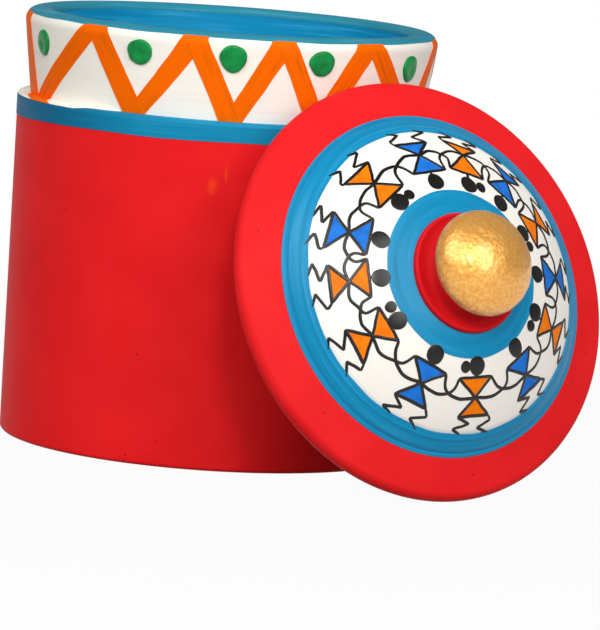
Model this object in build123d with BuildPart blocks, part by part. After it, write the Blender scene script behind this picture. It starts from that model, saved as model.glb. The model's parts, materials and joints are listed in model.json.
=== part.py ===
from build123d import *
import math
import os

# Lidded terracotta box: a straight red body with a flared collar, and a domed
# lid with a button knob. The lid is off the box. It stands on its lip in front
# of it and leans back on the collar. All sizes are in millimetres, the origin
# is the middle of the base, +Z is up and the lid stands on the -Y side.

# Body
BODY_RADIUS = 50.0        # outside of the wall at the shoulder
FOOT_TAPER = 0.8          # how much narrower the wall is at the floor
WALL = 7.4                # wall thickness at the shoulder
SHOULDER_HEIGHT = 81.1
SHOULDER_ROUND = 1.0
FOOT_ROUND = 1.0
FLOOR_THICKNESS = 7.0

# Collar
COLLAR_HEIGHT = 20.2
SHOULDER_STEP = 3.0       # from the body's outside in to the collar's foot
RIM_SETBACK = 0.6         # from the body's outside in to the rim
COLLAR_LEDGE = 0.8        # width of the collar that rests on the shoulder
SPIGOT_DEPTH = 6.0        # how far the collar reaches down inside the wall
LIP_OUTSIDE_ROUND = 2.6
LIP_INSIDE_ROUND = 1.6

# Raised paint drops round the collar, set by hand at these angles from +X, and at
# these distances from the rim down to their middles
DROP_ANGLES = (9, 33.5, 58, 83.5, 107.5, 133, 174.2, 213, 239.2, 264.1, 298, 344.5)
DROP_SETBACKS = (5.1, 5.7, 4.9, 5.4, 5.0, 5.8, 6.4, 5.2, 5.0, 5.0, 6.2, 5.3)
DROP_RADIUS = 2.8
DROP_RISE = 0.9

# Lid
LID_EDGE_ROUND = 2.4      # the lid's edge is a half round of this radius
FLANGE_WIDTH = 9.2        # from the lid's edge in to the foot of the dome
FLANGE_SLOPE = 19.3       # degrees that the flange falls towards its edge
DOME_SPHERE = 60.0        # radius of the sphere that the dome is cut from
DOME_WALL = 6.0
GROOVE_ROUND = 0.45       # turned grooves, at these distances in from the dome's foot
GROOVE_SETBACKS = (0.9, 3.45)
LOCATING_CLEARANCE = 1.0  # between the mouth and the ring under the lid
LOCATING_WALL = 3.6
LOCATING_DEPTH = 3.0
LOCATING_ROUND = 0.8

# Knob
NECK_FOOT = 14.0
NECK_EDGE = 0.7           # low upright edge of the neck where it meets the dome
NECK_TOP = 8.6            # radius where the knob sits on the neck
NECK_RIM_ROUND = 1.2      # half-round rim of the neck
NECK_RIM_TURN = 126.0     # how far the rim rolls over before the flare hollows in, degrees
TENON_RADIUS = 5.0
PEG_RADIUS = 4.0
PEG_HEIGHT = 5.0
KNOB_RADIUS = 12.2
KNOB_SIDE_ROUND = 3.4     # half round below the knob's widest line
KNOB_BROW_ROUND = 5.0     # round above the knob's widest line, which the crown runs on from
KNOB_CROWN_RISE = 7.8     # from the knob's widest line up to its top
KNOB_ABOVE_DOME = 5.9     # from the dome's crown up to the knob's widest line

# How the lid stands
LEAN_ANGLE = 68.1         # between the lid's axis and the vertical, degrees
SIDE_SHIFT = 12.2         # lid's middle, to the +X side of the box
LEAN_GAP = 0.3            # air left between the lid and the box

SLIP = 0.1                # layer of slip left between luted faces

os.makedirs("parts", exist_ok=True)

# Body and collar values that follow from the sizes above
foot_radius = BODY_RADIUS - FOOT_TAPER
bore_radius = BODY_RADIUS - WALL
base_seat_radius = (foot_radius + bore_radius) / 2
collar_foot_radius = BODY_RADIUS - SHOULDER_STEP
rim_radius = BODY_RADIUS - RIM_SETBACK
rebate_radius = collar_foot_radius - COLLAR_LEDGE
rebate_height = SHOULDER_HEIGHT - SPIGOT_DEPTH
rim_height = SHOULDER_HEIGHT + COLLAR_HEIGHT

# Lid values, with heights measured along its axis from the dome's foot
slope = math.radians(FLANGE_SLOPE)
lid_radius = rim_radius
edge_radius = lid_radius - LID_EDGE_ROUND
dome_foot = lid_radius - FLANGE_WIDTH
edge_drop = (edge_radius - dome_foot) * math.tan(slope) + LID_EDGE_ROUND / math.cos(slope)
flange_under = -edge_drop - LID_EDGE_ROUND
locating_radius = bore_radius - LOCATING_CLEARANCE
locating_under = flange_under - LOCATING_DEPTH
dome_centre = -math.sqrt(DOME_SPHERE**2 - dome_foot**2)
dome_crown = dome_centre + DOME_SPHERE
inner_sphere = DOME_SPHERE - DOME_WALL
lid_bore = math.sqrt(inner_sphere**2 - dome_centre**2)
knob_middle = dome_crown + KNOB_ABOVE_DOME
knob_side = KNOB_RADIUS - KNOB_SIDE_ROUND
knob_seat = knob_middle - KNOB_SIDE_ROUND

# The lid's lean: its edge stands on the floor and its back just clears the box
lean = math.radians(LEAN_ANGLE)
lid_height = edge_radius * math.sin(lean) + edge_drop * math.cos(lean) + LID_EDGE_ROUND


def sphere_height(sphere, radius):
    """Height on a sphere about the dome's centre, at a radius from the lid's axis."""
    return dome_centre + math.sqrt(sphere**2 - radius**2)


def collar_radius(height):
    """Outside radius of the collar's flare at a height above the floor."""
    rise = (height - SHOULDER_HEIGHT) / COLLAR_HEIGHT
    return collar_foot_radius + (rim_radius - collar_foot_radius) * rise


def box_radius(height):
    """Outside radius of the box at a height above the floor, 0 above the rim."""
    if height > rim_height:
        return 0.0
    if height < SHOULDER_HEIGHT:
        return BODY_RADIUS
    return collar_radius(height)


def stand_off(radius, depth, edge):
    """Distance from the box's axis to the lid's middle at which a ring on its back clears the box."""
    needed = 0.0
    for degrees in range(-90, 91):
        turn = math.radians(degrees)
        across = SIDE_SHIFT + radius * math.sin(turn)
        up = radius * math.cos(turn)
        height = lid_height + up * math.sin(lean) - depth * math.cos(lean)
        reach = box_radius(height) + edge + LEAN_GAP
        if abs(across) < reach:
            clear = math.sqrt(reach**2 - across**2)
            needed = max(needed, clear + up * math.cos(lean) + depth * math.sin(lean))
    return needed


lid_distance = max(
    stand_off(edge_radius, edge_drop, LID_EDGE_ROUND),
    stand_off(locating_radius - LOCATING_ROUND, -locating_under - LOCATING_ROUND, LOCATING_ROUND),
    stand_off(locating_radius - LOCATING_WALL, -locating_under, 0.0),
)
lid_middle = (SIDE_SHIFT, -lid_distance, lid_height)
lid_section = Plane(lid_middle, x_dir=(1, 0, 0), z_dir=(0, -math.cos(lean), -math.sin(lean)))
lid_axis = Axis(lid_middle, (0, -math.sin(lean), math.cos(lean)))

# Base disc, luted into a seat under the wall
with BuildPart() as base_disc:
    Cylinder(base_seat_radius - SLIP, FLOOR_THICKNESS, align=(Align.CENTER, Align.CENTER, Align.MIN))
base_disc.part.label = "base_disc"
export_step(base_disc.part, "parts/base_disc.step")

# Wall, with a seat for the base disc below and a rebate for the collar above
with BuildPart() as body_wall:
    with BuildSketch(Plane.XZ):
        with BuildLine():
            Polyline(
                (base_seat_radius, 0),
                (foot_radius, 0),
                (BODY_RADIUS, SHOULDER_HEIGHT),
                (rebate_radius, SHOULDER_HEIGHT),
                (rebate_radius, rebate_height),
                (bore_radius, rebate_height),
                (bore_radius, FLOOR_THICKNESS),
                (base_seat_radius, FLOOR_THICKNESS),
                close=True,
            )
        make_face()
    revolve(axis=Axis.Z)
    rings = body_wall.edges().filter_by(GeomType.CIRCLE)
    fillet(rings.group_by(Axis.Z)[0].sort_by(SortBy.RADIUS)[-1], FOOT_ROUND)
    rings = body_wall.edges().filter_by(GeomType.CIRCLE)
    fillet(rings.group_by(Axis.Z)[-1].sort_by(SortBy.RADIUS)[-1], SHOULDER_ROUND)
body_wall.part.label = "body_wall"
export_step(body_wall.part, "parts/body_wall.step")

# Flared collar, with its spigot inside the wall and its ledge on the shoulder
with BuildPart() as rim_collar:
    with BuildSketch(Plane.XZ):
        with BuildLine():
            Polyline(
                (bore_radius, rebate_height),
                (rebate_radius - SLIP, rebate_height),
                (rebate_radius - SLIP, SHOULDER_HEIGHT),
                (collar_foot_radius, SHOULDER_HEIGHT),
                (rim_radius, rim_height),
                (bore_radius, rim_height),
                close=True,
            )
        make_face()
    revolve(axis=Axis.Z)
    lip = rim_collar.edges().filter_by(GeomType.CIRCLE).group_by(Axis.Z)[-1].sort_by(SortBy.RADIUS)
    fillet(lip[-1], LIP_OUTSIDE_ROUND)
    lip = rim_collar.edges().filter_by(GeomType.CIRCLE).group_by(Axis.Z)[-1].sort_by(SortBy.RADIUS)
    fillet(lip[0], LIP_INSIDE_ROUND)
rim_collar.part.label = "rim_collar"
export_step(rim_collar.part, "parts/rim_collar.step")

# Drops: the cap of a small ball, cut to the flare of the collar at the rim, and
# copies of it moved down the flare to their places
drop_ball = (DROP_RADIUS**2 + DROP_RISE**2) / (2 * DROP_RISE)
drop_depth = drop_ball - DROP_RISE
drop_low = rim_height - drop_ball
drop_high = rim_height + drop_ball
flare = (rim_radius - collar_foot_radius) / COLLAR_HEIGHT
with BuildPart() as drop:
    with Locations((rim_radius - drop_depth, 0, rim_height)):
        Sphere(drop_ball)
    with BuildSketch(Plane.XZ):
        with BuildLine():
            Polyline(
                (0, drop_low),
                (collar_radius(drop_low) + SLIP, drop_low),
                (collar_radius(drop_high) + SLIP, drop_high),
                (0, drop_high),
                close=True,
            )
        make_face()
    revolve(axis=Axis.Z, mode=Mode.SUBTRACT)
with BuildPart() as rim_drops:
    for angle, below_rim in zip(DROP_ANGLES, DROP_SETBACKS):
        with Locations(Location((0, 0, 0), (0, 0, angle))):
            add(drop.part.moved(Location((-below_rim * flare, 0, -below_rim))))
rim_drops.part.label = "rim_drops"
export_step(rim_drops.part, "parts/rim_drops.step")

# Flange of the lid, flat below, sloping above, with a half-round edge
with BuildPart() as lid_flange:
    with BuildSketch(lid_section):
        with BuildLine():
            under = Line((lid_bore, flange_under), (edge_radius, flange_under))
            edge = CenterArc((edge_radius, -edge_drop), LID_EDGE_ROUND, -90, 180 - FLANGE_SLOPE)
            top = Line(edge @ 1, (dome_foot, 0))
            Polyline(top @ 1, (lid_bore, 0), under @ 0)
        make_face()
    revolve(axis=lid_axis)
lid_flange.part.label = "lid_flange"
export_step(lid_flange.part, "parts/lid_flange.step")

# Dome of the lid, hollow below, with a hole for the neck's tenon
hole_radius = TENON_RADIUS + SLIP
with BuildPart() as lid_dome:
    with BuildSketch(lid_section):
        with BuildLine():
            outside = RadiusArc(
                (dome_foot, 0), (hole_radius, sphere_height(DOME_SPHERE, hole_radius)), -DOME_SPHERE
            )
            inside = RadiusArc(
                (hole_radius, sphere_height(inner_sphere, hole_radius)), (lid_bore, 0), inner_sphere
            )
            Line(outside @ 1, inside @ 0)
            Line(inside @ 1, outside @ 0)
        make_face()
    revolve(axis=lid_axis)
    with BuildSketch(lid_section):
        for setback in GROOVE_SETBACKS:
            groove_radius = dome_foot - setback
            with Locations((groove_radius, sphere_height(DOME_SPHERE, groove_radius))):
                Circle(GROOVE_ROUND)
    revolve(axis=lid_axis, mode=Mode.SUBTRACT)
lid_dome.part.label = "lid_dome"
export_step(lid_dome.part, "parts/lid_dome.step")

# Ring under the flange that keeps the closed lid in the mouth
with BuildPart() as locating_ring:
    with BuildSketch(lid_section):
        with Locations((locating_radius, flange_under)):
            Rectangle(LOCATING_WALL, LOCATING_DEPTH, align=(Align.MAX, Align.MAX))
    revolve(axis=lid_axis)
    rings = locating_ring.edges().filter_by(GeomType.CIRCLE)
    fillet(rings.group_by(lid_axis)[0].sort_by(SortBy.RADIUS)[-1], LOCATING_ROUND)
locating_ring.part.label = "locating_ring"
export_step(locating_ring.part, "parts/locating_ring.step")

# Neck of the knob: a tenon in the dome, a rolled rim, a hollow flare and a peg for the knob
neck_sphere = DOME_SPHERE + SLIP
with BuildPart() as knob_neck:
    with BuildSketch(lid_section):
        with BuildLine():
            tenon = Polyline(
                (0, sphere_height(inner_sphere, hole_radius)),
                (TENON_RADIUS, sphere_height(inner_sphere, hole_radius)),
                (TENON_RADIUS, sphere_height(neck_sphere, TENON_RADIUS)),
            )
            foot = RadiusArc(tenon @ 1, (NECK_FOOT, sphere_height(neck_sphere, NECK_FOOT)), neck_sphere)
            rise = Line(foot @ 1, foot @ 1 + (0, NECK_EDGE))
            rim = CenterArc(rise @ 1 - (NECK_RIM_ROUND, 0), NECK_RIM_ROUND, 0, NECK_RIM_TURN)
            cove = TangentArc(rim @ 1, (NECK_TOP, knob_seat), tangent=rim % 1)
            Polyline(
                cove @ 1,
                (PEG_RADIUS, knob_seat),
                (PEG_RADIUS, knob_seat + PEG_HEIGHT),
                (0, knob_seat + PEG_HEIGHT),
                tenon @ 0,
            )
        make_face()
    revolve(axis=lid_axis)
knob_neck.part.label = "knob_neck"
export_step(knob_neck.part, "parts/knob_neck.step")

# Knob: a flattened ball with a flat seat and a socket for the neck's peg. The crown's
# sphere is the one that meets the brow without a corner
socket_radius = PEG_RADIUS + SLIP
socket_top = knob_seat + PEG_HEIGHT + SLIP
brow_centre = KNOB_RADIUS - KNOB_BROW_ROUND
crown_sphere = (brow_centre**2 + KNOB_CROWN_RISE**2 - KNOB_BROW_ROUND**2) / (
    2 * (KNOB_CROWN_RISE - KNOB_BROW_ROUND)
)
brow_turn = math.degrees(math.atan2(crown_sphere - KNOB_CROWN_RISE, brow_centre))
with BuildPart() as knob_ball:
    with BuildSketch(lid_section):
        with BuildLine():
            side = CenterArc((knob_side, knob_middle), KNOB_SIDE_ROUND, -90, 90)
            brow = CenterArc((brow_centre, knob_middle), KNOB_BROW_ROUND, 0, brow_turn)
            crown = RadiusArc(brow @ 1, (0, knob_middle + KNOB_CROWN_RISE), -crown_sphere)
            Polyline(
                crown @ 1,
                (0, socket_top),
                (socket_radius, socket_top),
                (socket_radius, knob_seat),
                side @ 0,
            )
        make_face()
    revolve(axis=lid_axis)
knob_ball.part.label = "knob_ball"
export_step(knob_ball.part, "parts/knob_ball.step")
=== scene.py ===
"""Painted terracotta box with its lid leaning on it, dressed for its portrait.

Sizes are in millimetres, and MM turns them into scene units. The box stands on
the floor about the Z axis. The lid is made about its own axis and then leaned.
"""

import json
import logging
import math
import random
from collections.abc import Callable
from dataclasses import dataclass, field
from enum import Enum
from typing import Any

import bpy
from mathutils import Matrix, Vector, noise

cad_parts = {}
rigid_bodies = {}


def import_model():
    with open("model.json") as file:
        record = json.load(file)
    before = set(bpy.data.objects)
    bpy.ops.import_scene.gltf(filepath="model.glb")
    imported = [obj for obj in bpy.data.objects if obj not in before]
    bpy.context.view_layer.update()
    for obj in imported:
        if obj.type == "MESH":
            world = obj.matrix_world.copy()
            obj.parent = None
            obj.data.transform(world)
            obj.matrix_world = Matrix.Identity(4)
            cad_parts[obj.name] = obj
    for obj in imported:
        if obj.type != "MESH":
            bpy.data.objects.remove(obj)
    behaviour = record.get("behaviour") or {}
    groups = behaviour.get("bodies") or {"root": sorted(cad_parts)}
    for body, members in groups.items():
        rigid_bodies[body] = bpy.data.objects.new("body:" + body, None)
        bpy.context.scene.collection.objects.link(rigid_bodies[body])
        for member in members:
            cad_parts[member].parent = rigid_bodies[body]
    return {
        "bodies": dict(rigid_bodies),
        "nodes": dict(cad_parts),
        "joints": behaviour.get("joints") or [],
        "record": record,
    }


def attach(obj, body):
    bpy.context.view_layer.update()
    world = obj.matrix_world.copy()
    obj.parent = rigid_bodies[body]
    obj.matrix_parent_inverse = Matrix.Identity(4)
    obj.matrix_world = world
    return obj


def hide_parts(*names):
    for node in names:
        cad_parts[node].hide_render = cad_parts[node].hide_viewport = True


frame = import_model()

logging.basicConfig(level=logging.INFO, format="%(name)s: %(message)s")
log = logging.getLogger("pyxis")

MM = 0.001
MERGE_MM = 0.0005
FILM_SMOOTH_DEG = 50.0
WHEEL_SMOOTH_DEG = 40.0
HAND_SEED = 13

Pair = tuple[float, float]
Outline = list[Pair]
Colour = tuple[float, float, float, float]
Inputs = dict[str | int, Any]
Piece = bpy.types.Object
Tree = bpy.types.NodeTree
Socket = bpy.types.NodeSocket


class Body(str, Enum):
    """The two bodies that pieces ride on."""

    BOX = "box"
    LID = "lid"


class Slot(str, Enum):
    """The record's material slots."""

    RED = "red_paint"
    WHITE = "white_paint"
    BLUE = "blue_paint"
    GREEN = "green_paint"
    GOLD = "gold_paint"
    ORANGE = "orange_paint"
    ROYAL_BLUE = "royal_blue_paint"
    AMBER = "amber_paint"
    INK = "black_ink"


def linear(hex_colour: str) -> Colour:
    """Turns an sRGB hex colour into a linear one.

    Args:
        hex_colour: Six hex digits, with or without a leading mark.

    Returns:
        Red, green, blue and alpha, each from 0 to 1.
    """
    digits = hex_colour.lstrip("#")
    channels = [int(digits[start:start + 2], 16) / 255 for start in (0, 2, 4)]
    red, green, blue = (c / 12.92 if c <= 0.04045 else ((c + 0.055) / 1.055) ** 2.4 for c in channels)
    return red, green, blue, 1.0


def connect(tree: Tree, node: bpy.types.Node, inputs: Inputs) -> None:
    """Sets or links several inputs of a node.

    Args:
        tree: The tree that the node is in.
        node: The node.
        inputs: A value to set, or an output socket to link, for each input.
    """
    for name, value in inputs.items():
        if isinstance(value, Socket):
            tree.links.new(value, node.inputs[name])
        else:
            node.inputs[name].default_value = value


def add_node(tree: Tree, kind: str, inputs: Inputs, **settings: Any) -> Socket | None:
    """Adds a node, sets it up and links it.

    Args:
        tree: The node tree to add to.
        kind: The shader node's kind.
        inputs: A value to set, or an output socket to link, for each input.
        **settings: Properties of the node itself, set before its inputs.

    Returns:
        The node's first live output, if it has one.
    """
    node = tree.nodes.new("ShaderNode" + kind)
    for name, value in settings.items():
        setattr(node, name, value)
    connect(tree, node, inputs)
    return next((output for output in node.outputs if output.enabled), None)


@dataclass(frozen=True)
class Seat:
    """A place and a lean that a turned piece is made about."""

    origin: tuple[float, float, float] = (0.0, 0.0, 0.0)
    lean_deg: float = 0.0

    def matrix(self) -> Matrix:
        """Gives the move from the seat's own frame to the scene's, in scene units."""
        place = Matrix.Translation(Vector(self.origin) * MM)
        return place @ Matrix.Rotation(math.radians(self.lean_deg), 4, "X")

    def millimetres(self, tree: Tree) -> Socket:
        """Adds Object coordinates in millimetres about this seat.

        Args:
            tree: The material's node tree.

        Returns:
            The socket that carries them.
        """
        seated = {
            "Vector": add_node(tree, "TexCoord", {}).node.outputs["Object"],
            "Location": Vector(self.origin) * MM,
            "Rotation": (math.radians(self.lean_deg), 0.0, 0.0),
            "Scale": (MM, MM, MM),
        }
        return add_node(tree, "Mapping", seated, vector_type="TEXTURE")


def around(turn: float, radius: float, height: float) -> Vector:
    """Gives the point at an angle round the axis, a distance from it and a height."""
    return Vector((radius * math.cos(turn), radius * math.sin(turn), height))


def arc(centre: Pair, radius: float, start_deg: float, end_deg: float, steps: int) -> Outline:
    """Lists points along an arc of an outline.

    Args:
        centre: Distance from the axis and height of the arc's centre.
        radius: The arc's radius.
        start_deg: Angle of the first point, from straight out, towards up.
        end_deg: Angle of the last point.
        steps: How many stretches the arc is cut into.

    Returns:
        The points, first and last included.
    """
    points = []
    for step in range(steps + 1):
        turn = math.radians(start_deg + (end_deg - start_deg) * step / steps)
        points.append((centre[0] + radius * math.cos(turn), centre[1] + radius * math.sin(turn)))
    return points


def stretch(start: Pair, end: Pair, steps: int) -> Outline:
    """Lists points along a straight stretch of an outline, first and last included."""
    return [
        (start[0] + (end[0] - start[0]) * step / steps, start[1] + (end[1] - start[1]) * step / steps)
        for step in range(steps + 1)
    ]


class Track:
    """A line across a turned surface that paint is laid along.

    Args:
        points: The line's points, as distance from the axis and height.
    """

    def __init__(self, points: Outline) -> None:
        self.points = [Vector(point) for point in points]
        self.lengths = [0.0]
        for before, after in zip(self.points, self.points[1:]):
            self.lengths.append(self.lengths[-1] + (after - before).length)

    @property
    def length(self) -> float:
        """The whole line's length."""
        return self.lengths[-1]

    def at(self, row: int, slip: float, proud: float) -> Pair:
        """Finds a point that stands off the line, on its right.

        Args:
            row: Which of the line's points it is beside.
            slip: How far it is moved along the line.
            proud: How far it stands off.

        Returns:
            Distance from the axis and height.
        """
        last = len(self.points) - 1
        along = (self.points[min(row + 1, last)] - self.points[max(row - 1, 0)]).normalized()
        point = self.points[row] + along * slip + Vector((along.y, -along.x)) * proud
        return point.x, point.y

    def point(self, distance: float, proud: float) -> Pair:
        """Finds a point that stands off the line, on its right.

        Args:
            distance: How far along the line it is.
            proud: How far it stands off.

        Returns:
            Distance from the axis and height.
        """
        row = 0
        while row < len(self.points) - 2 and self.lengths[row + 1] < distance:
            row += 1
        return self.at(row, distance - self.lengths[row], proud)


def start_piece(name: str, add: Callable[..., Any], **settings: Any) -> Piece:
    """Adds a primitive with nothing else selected.

    Args:
        name: The new piece's name.
        add: The operator that adds the primitive.
        **settings: The operator's own settings.

    Returns:
        The new object, active and selected.
    """
    bpy.ops.object.select_all(action="DESELECT")
    add(**settings)
    piece = bpy.context.object
    piece.name = name
    piece.data.name = name
    return piece


def apply_modifier(piece: Piece, kind: str, **settings: Any) -> None:
    """Adds a modifier to a piece and applies it.

    Args:
        piece: The piece to change.
        kind: The modifier's Blender type.
        **settings: The modifier's properties.
    """
    bpy.context.view_layer.objects.active = piece
    modifier = piece.modifiers.new(kind.lower(), kind)
    for name, value in settings.items():
        setattr(modifier, name, value)
    bpy.ops.object.modifier_apply(modifier=modifier.name)


def close_mesh(piece: Piece, recalculate: bool) -> None:
    """Merges doubled points and, if asked, turns all faces outwards.

    Args:
        piece: The piece to close.
        recalculate: Whether its normals are worked out again.
    """
    bpy.context.view_layer.objects.active = piece
    bpy.ops.object.mode_set(mode="EDIT")
    bpy.ops.mesh.select_all(action="SELECT")
    bpy.ops.mesh.remove_doubles(threshold=MERGE_MM * MM)
    bpy.ops.mesh.dissolve_degenerate(threshold=MERGE_MM * MM)
    if recalculate:
        bpy.ops.mesh.normals_make_consistent(inside=False)
    bpy.ops.object.mode_set(mode="OBJECT")


def set_down(piece: Piece, seat: Seat, smooth_deg: float) -> Piece:
    """Puts a finished piece on its seat, with its place in its mesh.

    Args:
        piece: The piece, made about the world's own axis.
        seat: Where it goes.
        smooth_deg: Edges sharper than this stay sharp.

    Returns:
        The same piece.
    """
    bpy.ops.object.select_all(action="DESELECT")
    piece.select_set(True)
    bpy.context.view_layer.objects.active = piece
    bpy.ops.object.shade_smooth_by_angle(angle=math.radians(smooth_deg))
    piece.matrix_world = seat.matrix()
    bpy.ops.object.transform_apply(location=True, rotation=True, scale=True)
    return piece


def join_pieces(name: str, pieces: list[Piece]) -> Piece:
    """Joins several objects into the first one.

    Args:
        name: The joined piece's name.
        pieces: The objects to join.

    Returns:
        The joined object.
    """
    bpy.ops.object.select_all(action="DESELECT")
    for piece in pieces:
        piece.select_set(True)
    bpy.context.view_layer.objects.active = pieces[0]
    if len(pieces) > 1:
        bpy.ops.object.join()
    pieces[0].name = name
    pieces[0].data.name = name
    return pieces[0]


def turn_on_wheel(name: str, outline: Outline, seat: Seat, steps: int = 192) -> Piece:
    """Draws a closed outline point by point and spins it, as a piece is thrown on a wheel.

    Args:
        name: The piece's name.
        outline: Distance from the axis and height of each point, first point repeated at the end
            unless the outline begins and ends on the axis.
        seat: Where the finished piece goes.
        steps: How many stretches the full turn has.

    Returns:
        The turned piece.
    """
    piece = start_piece(name, bpy.ops.mesh.primitive_plane_add, size=MM)
    bpy.ops.object.mode_set(mode="EDIT")
    bpy.ops.mesh.select_all(action="SELECT")
    bpy.ops.mesh.merge(type="CENTER")
    bpy.ops.transform.translate(value=(outline[0][0] * MM, 0.0, outline[0][1] * MM))
    for before, after in zip(outline, outline[1:]):
        move = ((after[0] - before[0]) * MM, 0.0, (after[1] - before[1]) * MM)
        bpy.ops.mesh.extrude_vertices_move(TRANSFORM_OT_translate={"value": move})
    bpy.ops.mesh.select_all(action="SELECT")
    bpy.ops.mesh.spin(steps=steps, angle=math.tau, center=(0.0, 0.0, 0.0), axis=(0.0, 0.0, 1.0))
    bpy.ops.object.mode_set(mode="OBJECT")
    close_mesh(piece, recalculate=True)
    return set_down(piece, seat, WHEEL_SMOOTH_DEG)


def unevenness(piece: Piece, depth: float, size: float) -> None:
    """Gives a turned surface the slight hollows that a hand leaves.

    Args:
        piece: The piece to change.
        depth: From the lowest to the highest place.
        size: Width of one hollow.
    """
    texture = bpy.data.textures.new(piece.name + "_hollows", "CLOUDS")
    texture.noise_scale = size * MM
    apply_modifier(
        piece, "DISPLACE", texture=texture, texture_coords="LOCAL", strength=depth * MM, mid_level=0.5
    )
    bpy.data.textures.remove(texture)


@dataclass(frozen=True)
class Coat:
    """How a film of paint is laid: its height over the clay and how deep it keys in."""

    proud: float = 0.12
    keyed: float = 0.35

    def lay(
        self,
        name: str,
        place: Callable[[float, float], Vector],
        cells: tuple[int, int],
        seat: Seat,
    ) -> Piece:
        """Wraps a grid on a surface and gives it the film's thickness.

        Args:
            name: The film's name.
            place: Gives the film's outer face for two shares from 0 to 1, along and across,
                where along, across and outwards are right-handed.
            cells: How many cells the grid has along and across.
            seat: Where the surface is.

        Returns:
            The finished film.
        """
        along, across = cells
        add = bpy.ops.mesh.primitive_grid_add
        film = start_piece(name, add, x_subdivisions=along, y_subdivisions=across, size=1.0)
        for vertex in film.data.vertices:
            vertex.co = place(vertex.co.x + 0.5, vertex.co.y + 0.5) * MM
        close_mesh(film, recalculate=False)
        apply_modifier(
            film, "SOLIDIFY", thickness=(self.proud + self.keyed) * MM, offset=-1.0, use_even_offset=False
        )
        return set_down(film, seat, FILM_SMOOTH_DEG)

    def ring(self, name: str, track: Track, edges: "HandEdges", seat: Seat, steps: int = 240) -> Piece:
        """Lays a ring of paint right round a turned surface.

        Args:
            name: The film's name.
            track: The line across the surface, from the ring's first edge to its second.
            edges: How straight the painter's hand kept both edges.
            seat: Where the surface is.
            steps: How many stretches the full turn has.

        Returns:
            The finished film.
        """
        rows = len(track.points) - 1

        def place(along: float, across: float) -> Vector:
            """Finds a point of the film from its shares along and across."""
            turn = math.tau * along
            row = round(across * rows)
            return around(turn, *track.at(row, edges.slip(turn, track, row), self.proud))

        return self.lay(name, place, (steps, rows), seat)


@dataclass(frozen=True)
class HandEdges:
    """How far a painted ring's two edges stray, and how often round a turn.

    The first edge can also stray to one side of the ring.
    """

    first: float = 0.0
    second: float = 0.0
    waves: float = 3.0
    seed: float = 0.0
    fade: float = 3.0
    stray: float = 0.0
    stray_deg: float = 0.0
    stray_reach: float = 5.7

    def slip(self, turn: float, track: Track, row: int) -> float:
        """Gives the slip of one point of the ring, which dies out away from the edges.

        Args:
            turn: The angle round the axis.
            track: The line across the ring.
            row: Which of the line's points it is.

        Returns:
            How far the point strays along the track.
        """
        spot = around(turn, 1.0, 0.0) * self.waves
        first = self.first * noise.noise(spot + Vector((self.seed, 0.0, 0.0)))
        beside = math.cos(turn - math.radians(self.stray_deg)) - 1.0
        first += self.stray * math.exp(self.stray_reach * beside)
        second = self.second * noise.noise(spot + Vector((0.0, self.seed, 7.0)))
        from_first = track.lengths[row]
        from_second = track.length - from_first
        return first * max(0.0, 1 - from_first / self.fade) + second * max(0.0, 1 - from_second / self.fade)


class Finish:
    """A paint or other surface, made as a material of procedural nodes."""

    name: str
    seat: Seat

    def make(self) -> bpy.types.Material:
        """Makes the material.

        Returns:
            The material, with the finish on its surface shader.
        """
        material = bpy.data.materials.new(self.name)
        material.use_nodes = True
        tree = material.node_tree
        connect(tree, tree.nodes["Principled BSDF"], self.surface(tree, self.seat.millimetres(tree)))
        return material

    def surface(self, tree: Tree, place: Socket) -> Inputs:
        """Adds the finish's own nodes; each kind has its own way.

        Args:
            tree: The material's node tree.
            place: Coordinates in millimetres.

        Returns:
            What goes into the surface shader.
        """
        raise NotImplementedError


@dataclass(frozen=True)
class Smear:
    """A smear of paint on a wall: its middle, width and height in millimetres."""

    middle: tuple[float, float, float]
    width: float
    height: float


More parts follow.
